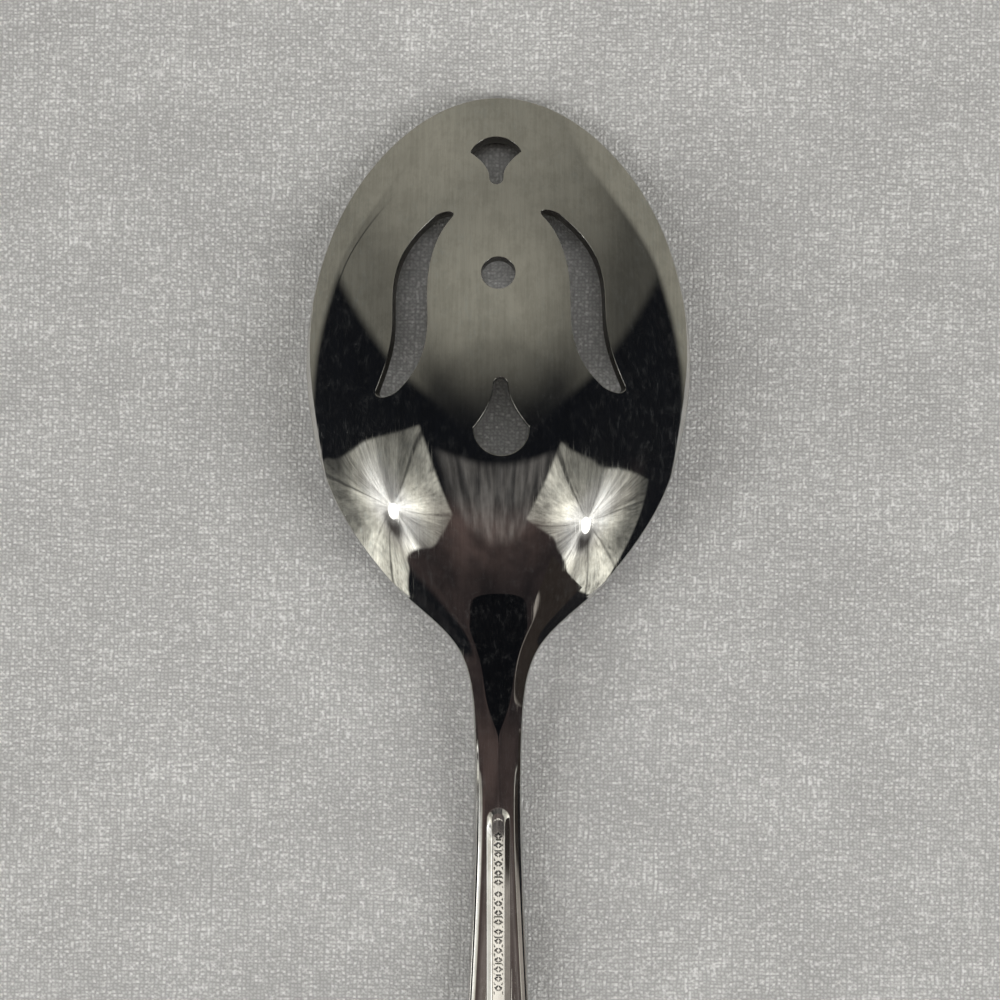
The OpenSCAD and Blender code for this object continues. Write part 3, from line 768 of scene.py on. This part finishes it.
class Tree:
    """Short ways to add nodes to a tree and to join them."""

    def __init__(self, tree):
        self.t = tree
        self.t.nodes.clear()

    def add(self, kind, **values):
        n = self.t.nodes.new(kind)
        for k, v in values.items():
            setattr(n, k, v)
        return n

    def plug(self, socket, value):
        if value is None:
            return
        if isinstance(value, bpy.types.NodeSocket):
            self.t.links.new(value, socket)
        else:
            socket.default_value = value

    def end(self, kind, shader):
        """Ends the tree in an output node."""
        self.plug(self.add(kind).inputs[0], shader)

    def math(self, op, a, b=None, c=None):
        n = self.add("ShaderNodeMath", operation=op)
        for i, v in enumerate((a, b, c)):
            self.plug(n.inputs[i], v)
        return n.outputs[0]

    def plus(self, first, *rest):
        for v in rest:
            first = self.math("ADD", first, v)
        return first

    def times(self, first, *rest):
        for v in rest:
            first = self.math("MULTIPLY", first, v)
        return first

    def minus(self, a, b):
        return self.math("SUBTRACT", a, b)

    def vec(self, op, a, b=None, scale=None):
        n = self.add("ShaderNodeVectorMath", operation=op)
        self.plug(n.inputs[0], a)
        self.plug(n.inputs[1], b)
        if scale is not None:
            self.plug(n.inputs[3], scale)
        return n.outputs["Value"] if op == "DOT_PRODUCT" else n.outputs[0]

    def step(self, x, lo, hi, out0=0.0, out1=1.0):
        """Goes smoothly from out0 at lo to out1 at hi."""
        n = self.add("ShaderNodeMapRange", interpolation_type="SMOOTHSTEP")
        self.plug(n.inputs[0], x)
        for i, v in zip((1, 2, 3, 4), (lo, hi, out0, out1)):
            self.plug(n.inputs[i], v)
        return n.outputs[0]

    def mix(self, f, a, b):
        """Colour a where f is 0 and colour b where it is 1."""
        n = self.add("ShaderNodeMix", data_type="RGBA")
        self.plug(n.inputs[0], f)
        self.plug(n.inputs[6], a)
        self.plug(n.inputs[7], b)
        return n.outputs[2]

    def noise(self, vector, scale, detail=2.0, rough=0.5):
        n = self.add("ShaderNodeTexNoise")
        self.plug(n.inputs["Vector"], vector)
        n.inputs["Scale"].default_value = scale
        n.inputs["Detail"].default_value = detail
        n.inputs["Roughness"].default_value = rough
        return n.outputs["Fac"]

    def through(self, x, points):
        """A smooth curve through (x, y) points, level past its ends."""
        xs, ys = zip(*points)
        lo, hi = min(ys), max(ys)
        span = self.add("ShaderNodeMapRange")
        for i, v in enumerate((x, xs[0], xs[-1], 0.0, 1.0)):
            self.plug(span.inputs[i], v)
        n = self.add("ShaderNodeFloatCurve")
        line = n.mapping.curves[0]
        spots = [((a - xs[0]) / (xs[-1] - xs[0]), (b - lo) / (hi - lo)) for a, b in points]
        line.points[0].location, line.points[1].location = spots[0], spots[-1]
        for a, b in spots[1:-1]:
            line.points.new(a, b)
        for spot in line.points:
            spot.handle_type = "AUTO_CLAMPED"
        n.mapping.update()
        self.plug(n.inputs["Value"], span.outputs[0])
        return self.math("MULTIPLY_ADD", n.outputs[0], hi - lo, lo)

    def scaled(self, vector, xyz, turn=0.0):
        n = self.add("ShaderNodeMapping")
        self.plug(n.inputs[0], vector)
        n.inputs["Rotation"].default_value = (0, 0, turn)
        n.inputs["Scale"].default_value = xyz
        return n.outputs[0]


def material(name):
    m = bpy.data.materials.new(name)
    m.use_nodes = True
    return m, Tree(m.node_tree)


# Polished steel
steel, t = material("polished_steel")
place = t.add("ShaderNodeTexCoord").outputs["Object"]
hair_a = t.noise(t.scaled(place, (9000, 160, 160), 0.02), 1.0, 2.0, 0.6)
hair_b = t.noise(t.scaled(place, (5200, 90, 90), -0.06), 1.0, 2.0, 0.6)
smear = t.noise(t.scaled(place, (90, 45, 90)), 1.0, 3.0, 0.6)
hair = t.plus(t.step(hair_a, 0.60, 0.74), t.step(hair_b, 0.63, 0.78))
cloud = t.step(smear, 0.38, 0.68)
drawn = t.noise(t.scaled(place, (2600, 130, 130), 0.04), 1.0, 4.0, 0.7)
blot = t.noise(t.scaled(place, (420, 300, 350)), 1.0, 5.0, 0.75)
dust = t.noise(t.scaled(place, (1400, 700, 900)), 1.0, 4.0, 0.75)
# the struck bed on the band is left matt
parts = t.add("ShaderNodeSeparateXYZ")
t.plug(parts.inputs[0], place)
bed_y = (OVERALL_L / 2 - BED_S - BED_L / 2) * MM
off_line = t.math("ABSOLUTE", parts.outputs[0])
off_middle = t.math("ABSOLUTE", t.minus(parts.outputs[1], bed_y))
matt = t.times(t.step(off_line, (BED_HALF - 0.08) * MM, (BED_HALF - 0.02) * MM, 1.0, 0.0),
               t.step(off_middle, (BED_L / 2 - 0.2) * MM, (BED_L / 2 + 0.3) * MM, 1.0, 0.0))
bump = t.add("ShaderNodeBump")
bump.inputs["Strength"].default_value = 0.05
bump.inputs["Distance"].default_value = 0.00001
t.plug(bump.inputs["Height"], t.times(hair, -1.0))
bsdf = t.add("ShaderNodeBsdfPrincipled")
specks = t.times(t.step(dust, 0.50, 0.72), t.math("MULTIPLY_ADD", cloud, 0.75, 0.25))
t.plug(bsdf.inputs["Metallic"], t.math("MULTIPLY_ADD", specks, -0.02, 0.998))
drawing = t.step(drawn, 0.40, 0.62)
blots = t.step(blot, 0.42, 0.62)
wear = t.plus(t.times(cloud, 0.3), t.times(drawing, 0.35), t.times(blots, 0.45))
# the walls of the holes are rougher as cut steel, and their dark colour is painted shade
bright, worn, hole_wall_painted_shade = (0.735, 0.72, 0.69, 1), (0.56, 0.547, 0.518, 1), (0.2, 0.19, 0.175, 1)
wall = t.add("ShaderNodeAttribute", attribute_name="pierced").outputs["Fac"]
t.plug(bsdf.inputs["Base Color"], t.mix(wall, t.mix(wear, bright, worn), hole_wall_painted_shade))
rough = t.plus(0.022, t.times(cloud, 0.02), t.times(hair, 0.06), t.times(matt, 0.11),
               t.times(wall, 0.2))
# a thin uneven film from handling, which catches a little light in the dark reflections
bsdf.inputs["Coat Roughness"].default_value = 0.45
bsdf.inputs["Coat Tint"].default_value = (0.93, 0.97, 1.0, 1)
film = t.plus(t.times(cloud, 0.2), t.math("MULTIPLY_ADD", specks, 0.75, 0.05))
t.plug(bsdf.inputs["Coat Weight"], film)
t.plug(bsdf.inputs["Roughness"], rough)
t.plug(bsdf.inputs["Normal"], bump.outputs[0])
t.end("ShaderNodeOutputMaterial", bsdf.outputs[0])
mesh.materials.append(steel)
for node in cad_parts.values():
    node.data.materials.clear()
    node.data.materials.append(steel)

# The cloth on the table
cloth, t = material("pale_cloth")
place = t.add("ShaderNodeTexCoord").outputs["Object"]
wander = t.add("ShaderNodeTexNoise", noise_dimensions="2D")
t.plug(wander.inputs["Vector"], t.scaled(place, (420, 420, 1)))
wander.inputs["Scale"].default_value = 1.0
wander.inputs["Detail"].default_value = 2.0
uneven = t.vec("SCALE", t.vec("SUBTRACT", wander.outputs["Color"], (0.5, 0.5, 0.5)), scale=0.0004)
uneven = t.vec("ADD", place, uneven)


def grains(pitch_x, pitch_y, disorder, turn=0.0):
    """Distance from the nearest grain of thread, and a number of its own for each grain."""
    n = t.add("ShaderNodeTexVoronoi", voronoi_dimensions="2D", distance="CHEBYCHEV")
    t.plug(n.inputs["Vector"], t.scaled(uneven, (1000 / pitch_x, 1000 / pitch_y, 1), turn))
    n.inputs["Scale"].default_value = 1.0
    n.inputs["Randomness"].default_value = disorder
    own = t.add("ShaderNodeSeparateColor")
    t.plug(own.inputs[0], n.outputs["Color"])
    return n.outputs["Distance"], own.outputs[0]


# a fine even weave, brighter grains where threads cross, and faint slubs in some stretches; the colour
# follows the threads' height, so raised grains are painted lighter and the hollows between them
# darker, as painted light and shade beside the bump
weave, _ = grains(0.46, 0.42, 0.4, 0.02)
knot, lift = grains(0.68, 0.62, 0.75, 0.02)
slub, rare = grains(0.62, 2.1, 0.7)
bar, thick = grains(3.2, 0.55, 0.7)
patch = t.noise(t.scaled(place, (60, 80, 1)), 1.0, 3.0)
weave = t.step(weave, 0.05, 0.60, 1.0, 0.0)
knot = t.times(t.step(knot, 0.06, 0.44, 1.0, 0.0), t.step(lift, 0.05, 0.95))
slub = t.times(t.step(slub, 0.08, 0.36, 1.0, 0.0), t.step(rare, 0.72, 0.95),
               t.step(patch, 0.42, 0.62))
bar = t.times(t.step(bar, 0.15, 0.45, 1.0, 0.0), t.step(thick, 0.55, 1.0))
height = t.plus(t.times(weave, 0.34), t.times(knot, 0.52), t.times(slub, 0.42),
                t.times(bar, 0.20), t.times(patch, 0.35))
# painted light and shade: the colour is lighter where the threads stand high and darker in the hollows
# between them
relief_painted_light = t.step(height, 0.0, 1.15)
bump = t.add("ShaderNodeBump")
bump.inputs["Strength"].default_value = 0.45
bump.inputs["Distance"].default_value = 0.0002
t.plug(bump.inputs["Height"], height)
bsdf = t.add("ShaderNodeBsdfPrincipled")
bsdf.inputs["Roughness"].default_value = 0.9
bsdf.inputs["Specular IOR Level"].default_value = 0.2
t.plug(bsdf.inputs["Base Color"], t.mix(relief_painted_light, (0.31, 0.306, 0.297, 1), (0.67, 0.664, 0.649, 1)))
t.plug(bsdf.inputs["Normal"], bump.outputs[0])
t.end("ShaderNodeOutputMaterial", bsdf.outputs[0])
bpy.ops.mesh.primitive_plane_add(size=16.0, location=(0, 0, -0.00002))
floor = bpy.context.object
floor.name = "floor"
floor.data.materials.append(cloth)

# The studio round the spoon: two softboxes stand left and right of the handle, on both sides of a dark
# near side. Beyond the tip is a grey wall, and between wall and softboxes the room is black.
world = bpy.data.worlds.new("studio")
bpy.context.scene.world = world
world.use_nodes = True
w = Tree(world.node_tree)
look = w.vec("NORMALIZE", w.add("ShaderNodeTexCoord").outputs["Generated"])
sep = w.add("ShaderNodeSeparateXYZ")
w.plug(sep.inputs[0], look)
# to the right, toward the tip's side and upward
dx, dy, dz = sep.outputs


def direction(azimuth, elevation):
    """Unit vector: azimuth in degrees from the tip's side toward the right, elevation upward."""
    a, e = math.radians(azimuth), math.radians(elevation)
    return Vector((math.cos(e) * math.sin(a), math.cos(e) * math.cos(a), math.sin(e)))


def oval(p, q, centre, lean, long, wide):
    """1 on the rim of an ellipse, 0 in its middle: its long axis leans by an angle."""
    c, s = math.cos(math.radians(lean)), math.sin(math.radians(lean))
    p, q = w.minus(p, centre[0]), w.minus(q, centre[1])
    a = w.plus(w.times(p, c / long), w.times(q, s / long))
    b = w.minus(w.times(q, c / wide), w.times(p, s / wide))
    return w.math("SQRT", w.plus(w.times(a, a), w.times(b, b)))


BULB_GLOW = 3.5
# Tones by the angle round the bulb: close to it, farther out, and what is left of them far out
CORE_TONES = [(-180, 1.05), (-140, 0.6), (-110, 0.85), (-70, 1.45), (-10, 1.45), (15, 0.9),
              (40, 0.45), (80, 1.4), (100, 1.45), (125, 0.6), (150, 0.75), (180, 1.05)]
PANEL_TONES = [(-180, 1.0), (-163, 1.45), (-140, 0.9), (-122, 0.4), (-105, 0.85), (-80, 0.95),
               (-60, 0.5), (10, 0.6), (30, 0.32), (60, 0.36), (83, 1.6), (105, 0.65), (130, 0.4),
               (155, 0.25), (180, 1.0)]
REACH = [(-180, 0.5), (-140, 0.6), (-122, 2.2), (-108, 1.3), (-90, 0.25), (-60, 0.15), (50, 0.5),
         (90, 0.25), (130, 0.2), (180, 0.5)]


def lit_area(p, q, ahead, tip_edge, near_edge, ends):
    """1 inside the softbox and 0 outside it, with soft edges."""
    (top, top_slope), (foot, foot_slope) = ends
    before_tip = w.minus(w.through(q, tip_edge), p)
    past_near = w.minus(p, w.through(q, near_edge))
    under_top = w.minus(w.plus(w.times(p, top_slope), top), q)
    over_foot = w.minus(q, w.plus(w.times(p, foot_slope), foot))
    return w.times(w.step(ahead, 0.10, 0.20), w.step(before_tip, -0.006, 0.010),
                   w.step(past_near, -0.008, 0.014), w.step(under_top, -0.015, 0.025),
                   w.step(over_foot, -0.015, 0.025))


def streaks(p, q, rho, phase):
    """Streaks of uneven light that run out from the bulb, round 1."""
    turn = w.math("ARCTAN2", q, p)
    along = w.add("ShaderNodeCombineXYZ")
    w.plug(along.inputs[0], w.math("COSINE", turn))
    w.plug(along.inputs[1], w.math("SINE", turn))
    w.plug(along.inputs[2], w.plus(w.times(rho, 0.35), phase))
    broad = w.minus(w.noise(along.outputs[0], 6.0, 2.0, 0.6), 0.5)
    fine = w.minus(w.noise(along.outputs[0], 34.0, 3.0, 0.7), 0.5)
    streak = w.plus(w.times(broad, 1.7), w.times(fine, 2.6))
    return w.math("MAXIMUM", w.plus(streak, 1.0), 0.12)


def softbox(middle, tip_edge, near_edge, ends, folds, phase):
    """Cloth lit from behind by a bulb. p runs toward the tip's side and q upward, both as
    tangents of the angle from the bulb. The two edges are curves of p over q, the ends are two
    lines as (q at p = 0, slope), and the folds are thin dark lines at (angle, half width, depth)
    that run out from the bulb."""
    c = direction(*middle)
    up = (Vector((0, 0, 1)) - c * c.z).normalized()
    side = up.cross(c) if up.cross(c).y > 0 else c.cross(up)
    ahead = w.vec("DOT_PRODUCT", look, tuple(c))
    front = w.math("MAXIMUM", ahead, 0.05)
    p = w.math("DIVIDE", w.vec("DOT_PRODUCT", look, tuple(side)), front)
    q = w.math("DIVIDE", w.vec("DOT_PRODUCT", look, tuple(up)), front)
    rho = w.math("ARCCOSINE", w.math("MINIMUM", ahead, 1.0))
    turn = w.times(w.math("ARCTAN2", q, p), 180 / math.pi)
    box = lit_area(p, q, ahead, tip_edge, near_edge, ends)

    # the tones of the panels, and the folds between them
    far_out = w.step(rho, 0.17, 0.46, 1.0, w.through(turn, REACH))
    outer = w.times(w.step(rho, 0.07, 0.23), w.through(turn, PANEL_TONES), far_out)
    inner = w.times(w.step(rho, 0.07, 0.23, 1.0, 0.0), w.through(turn, CORE_TONES))
    tone = w.times(w.plus(outer, inner), streaks(p, q, rho, phase))
    for angle, half, depth in folds:
        off = w.math("ABSOLUTE", w.minus(turn, angle))
        line = w.times(w.step(off, 0.25 * half, half, depth, 0.0), w.step(rho, 0.06, 0.12))
        tone = w.times(tone, w.minus(1.0, line))

    # the bulb, and its dark socket on the near side
    bulb = oval(p, q, (-0.018, -0.016), 67, 0.076, 0.028)
    socket = w.step(oval(p, q, (-0.080, -0.095), 50, 0.085, 0.055), 0.5, 1.5, 0.92, 0.0)
    tone = w.times(tone, w.minus(1.0, socket))
    glow = w.step(bulb, 0.85, 2.0, 0.25, 0.0)
    hot = w.step(bulb, 0.8, 1.0, BULB_GLOW, 0.0)
    tint = w.mix(w.step(rho, 0.10, 0.30), (1.0, 1.0, 0.97, 1), (1.0, 0.985, 0.87, 1))
    return w.vec("SCALE", tint, scale=w.times(box, w.plus(tone, w.plus(glow, hot))))


left = softbox(
    (-111.3, 34.4),
    tip_edge=[(-1.2, 0.30), (-0.66, 0.286), (-0.3, 0.245), (0, 0.265), (0.3, 0.285), (0.62, 0.33)],
    near_edge=[(-1.2, -0.80), (-0.79, -0.616), (-0.38, -0.376), (-0.26, -0.31), (-0.16, -0.235),
               (0, -0.213), (0.134, -0.226), (0.315, -0.182), (0.56, -0.09)],
    ends=((0.575, 0.08), (-3.0, 0.0)),
    folds=[(64, 1.6, 0.75), (-72, 1.6, 0.6), (99, 1.3, 0.5), (-121, 1.3, 0.7), (-110, 1.0, 0.45),
           (122, 0.9, 0.35), (-50, 0.8, 0.3)],
    phase=0.0)
right = softbox(
    (116.6, 39.4),
    tip_edge=[(-1.2, 0.26), (-0.44, 0.256), (-0.14, 0.248), (0, 0.24), (0.134, 0.232),
              (0.243, 0.243), (0.44, 0.255), (0.62, 0.28)],
    near_edge=[(-1.2, -0.60), (-0.98, -0.49), (-0.376, -0.35), (-0.172, -0.288), (0, -0.213),
               (0.106, -0.184), (0.232, -0.134), (0.47, -0.126), (0.62, -0.12)],
    ends=((0.62, -0.05), (-0.615, 0.695)),
    folds=[(68, 1.6, 0.75), (-74, 1.6, 0.6), (104, 1.3, 0.5), (-121, 1.3, 0.7), (-104, 1.0, 0.5),
           (140, 0.9, 0.35), (40, 0.8, 0.3)],
    phase=3.1)

# The wall fades toward the ceiling, and ends in soft upright edges left and right
WALL_BY_HEIGHT = [(0.0, 0.80), (0.5, 0.80), (0.66, 0.72), (0.76, 0.86), (0.83, 0.92), (0.9, 0.52),
                  (0.935, 0.33), (0.965, 0.11), (0.985, 0.03), (1, 0.01)]
WALL_BY_SIDE = [(-0.7, 1.6), (-0.3, 1.3), (-0.1, 1.04), (0.1, 0.98), (0.4, 0.97), (0.65, 0.7)]
WALL_COLOUR = (1.0, 0.965, 0.80)
aside = w.math("ABSOLUTE", dx)
bearing = w.math("DIVIDE", aside, w.math("MAXIMUM", dy, 0.01))
wall = w.times(w.step(w.minus(w.times(dy, 1.85), aside), -0.02, 0.12),
               w.through(dz, WALL_BY_HEIGHT),
               w.step(bearing, 0.0, 1.15, 0.35, 0.13))
corner = w.times(w.step(dz, 0.78, 0.92), w.step(bearing, 0.3, 1.3, 0.0, 0.75))
wall = w.times(wall, w.minus(1.0, corner), w.through(dx, WALL_BY_SIDE))

# A pale stretch of table beyond the tip, under a slanting dark line
tilt = w.minus(w.times(dy, 0.60), dz)
table = w.times(w.step(tilt, -0.02, 0.075), w.step(dy, 0.02, 0.30, 0.16, 0.285),
                w.step(dx, -0.9, -0.45, 0.82, 1.0))
off = w.math("ABSOLUTE", w.plus(tilt, 0.006))
line = w.times(w.step(off, 0.0, 0.010, 1.0, 0.0), w.step(dx, -0.75, -0.45, 0.95, 0.0))
pale = w.times(w.math("MAXIMUM", wall, table), w.minus(1.0, line))
far = w.vec("SCALE", WALL_COLOUR, scale=pale)

# Streaky haze overhead
HAZE_COLOUR = (1.0, 0.95, 0.90)
veil = w.noise(w.scaled(look, (16.0, 4.0, 3.0)), 1.0, 2.0, 0.6)
above = w.times(w.step(dz, 0.90, 0.955), w.step(dy, 0.02, 0.05, 1.0, 0.0),
                w.step(veil, 0.3, 0.75, 0.03, 0.18))

# A dark warm near side with a darker middle. BLACK is the faint light that comes from everywhere.
NEAR_BY_HEIGHT = [(0.60, 0.10), (0.72, 0.30), (0.86, 0.62), (0.95, 1.0)]
NEAR_COLOUR = (0.078, 0.054, 0.048)
BLACK = (0.0048, 0.0057, 0.008)
apart = w.math("DIVIDE", aside, w.math("MAXIMUM", w.times(dy, -1.0), 0.05))
high = w.plus(dz, w.step(apart, 0.12, 0.32, 0.0, 0.08))
warm = w.math("MAXIMUM", w.through(high, NEAR_BY_HEIGHT), w.step(apart, 0.2, 0.6, 0.0, 0.42))
warm = w.times(warm, w.step(dz, 0.28, 0.42), w.step(dy, -0.3, -0.08, 1.0, 0.0),
               w.step(dx, -0.5, 0.5, 1.15, 0.75),
               w.step(w.noise(look, 4.0, 3.0), 0.25, 0.7, 0.55, 1.3))
near = w.vec("ADD", w.vec("SCALE", NEAR_COLOUR, scale=warm), BLACK)

# The spoon mirrors the room, and the camera itself sees a plain background
dim = w.vec("ADD", w.vec("SCALE", HAZE_COLOUR, scale=above), near)
light = w.vec("ADD", w.vec("ADD", left, right), w.vec("ADD", far, dim))
room = w.add("ShaderNodeBackground")
w.plug(room.inputs[0], light)
plain = w.add("ShaderNodeBackground")
plain.inputs[0].default_value = (0.62, 0.62, 0.61, 1)
pick = w.add("ShaderNodeMixShader")
w.plug(pick.inputs[0], w.add("ShaderNodeLightPath").outputs["Is Camera Ray"])
w.plug(pick.inputs[1], room.outputs[0])
w.plug(pick.inputs[2], plain.outputs[0])
w.end("ShaderNodeOutputWorld", pick.outputs[0])


def lamp(name, azimuth, elevation, share, spread):
    """Soft light from one side that gives the table a share of its brightness. The mirror-like
    steel shows the room itself, so the lamps stay out of its reflections."""
    data = bpy.data.lights.new(name, "SUN")
    toward = direction(azimuth, elevation)
    data.energy = share * math.pi / toward.z
    data.angle = math.radians(spread)
    ob = bpy.data.objects.new(name, data)
    ob.rotation_euler = toward.to_track_quat("Z", "Y").to_euler()
    ob.visible_glossy = False
    bpy.context.scene.collection.objects.link(ob)


lamp("left_bulb", -111, 35, 0.115, 12)
lamp("right_bulb", 117, 34, 0.115, 12)
lamp("left_box", -108, 13, 0.255, 32)
lamp("right_box", 114, 14, 0.255, 32)
lamp("overhead", 0, 84, 0.17, 40)


# Six cards near the spoon show only in reflections. A grey one right of the handle dims the right
# softbox, and is dark toward the tip. Two low dark strips darken the handle's edges. A pale one
# lights the raised band, a dark disc keeps the tongue black, and a grey panel over the wide end
# gives it something to mirror.
TIP_QUARTER = (0.23, 0.27)


def card(name, place, turn, size, colour, tip_colour=None, corners=4):
    """A card of a plain colour, a rectangle or with more corners a disc. tip_colour takes over
    on the quarter of it that lies toward the tip."""
    square = corners == 4
    bpy.ops.mesh.primitive_circle_add(vertices=corners, fill_type="NGON", location=place,
                                      radius=math.sqrt(0.5) if square else 0.5)
    ob = bpy.context.object
    if square:
        ob.data.transform(Matrix.Rotation(math.radians(45), 4, "Z"))
    ob.name = name
    ob.rotation_euler = (0, math.radians(turn), 0)
    ob.scale = (size[0], size[1], 1.0)
    paper, t = material(name)
    shine = t.add("ShaderNodeEmission")
    if tip_colour is None:
        shine.inputs[0].default_value = colour
    else:
        parts = t.add("ShaderNodeSeparateXYZ")
        t.plug(parts.inputs[0], t.add("ShaderNodeTexCoord").outputs["Object"])
        t.plug(shine.inputs[0], t.mix(t.step(parts.outputs[1], *TIP_QUARTER), colour, tip_colour))
    t.end("ShaderNodeOutputMaterial", shine.outputs[0])
    ob.data.materials.append(paper)
    ob.visible_camera = ob.visible_diffuse = ob.visible_shadow = ob.visible_transmission = False


WARM_GREY = (0.36, 0.33, 0.30, 1)
WARM_DARK = (0.03, 0.024, 0.021, 1)
DARK = (0.01, 0.01, 0.012, 1)
card("grey_card", (0.032, -0.0275, 0.0295), 90, (0.033, 0.105), WARM_GREY, WARM_DARK)
card("left_strip", (-0.030, -0.0275, 0.0065), 90, (0.013, 0.105), DARK)
card("right_strip", (0.030, -0.0275, 0.0065), 90, (0.013, 0.105), DARK)
card("band_light", (0.0, -0.0025, 0.020), 180, (0.006, 0.028), (1.3, 1.25, 1.15, 1))
card("tongue_shade", (0.0, 0.0268, 0.020), 180, (0.021, 0.0158), (0.002, 0.0025, 0.004, 1), corners=64)
card("handle_panel", (0.0, -0.115, 0.060), 180, (0.120, 0.130), (0.42, 0.405, 0.38, 1))

# The camera looks straight down, as in the photograph
cam = bpy.data.cameras.new("camera")
cam.sensor_width = 36.0
cam.lens = 43.2
cam.clip_start = 0.005
camera = bpy.data.objects.new("camera", cam)
camera.location = (0.0002, 0.057, 0.150)
camera.rotation_euler = (0, 0, 0)
bpy.context.scene.collection.objects.link(camera)
bpy.context.scene.camera = camera

bpy.context.scene.view_settings.view_transform = "Standard"
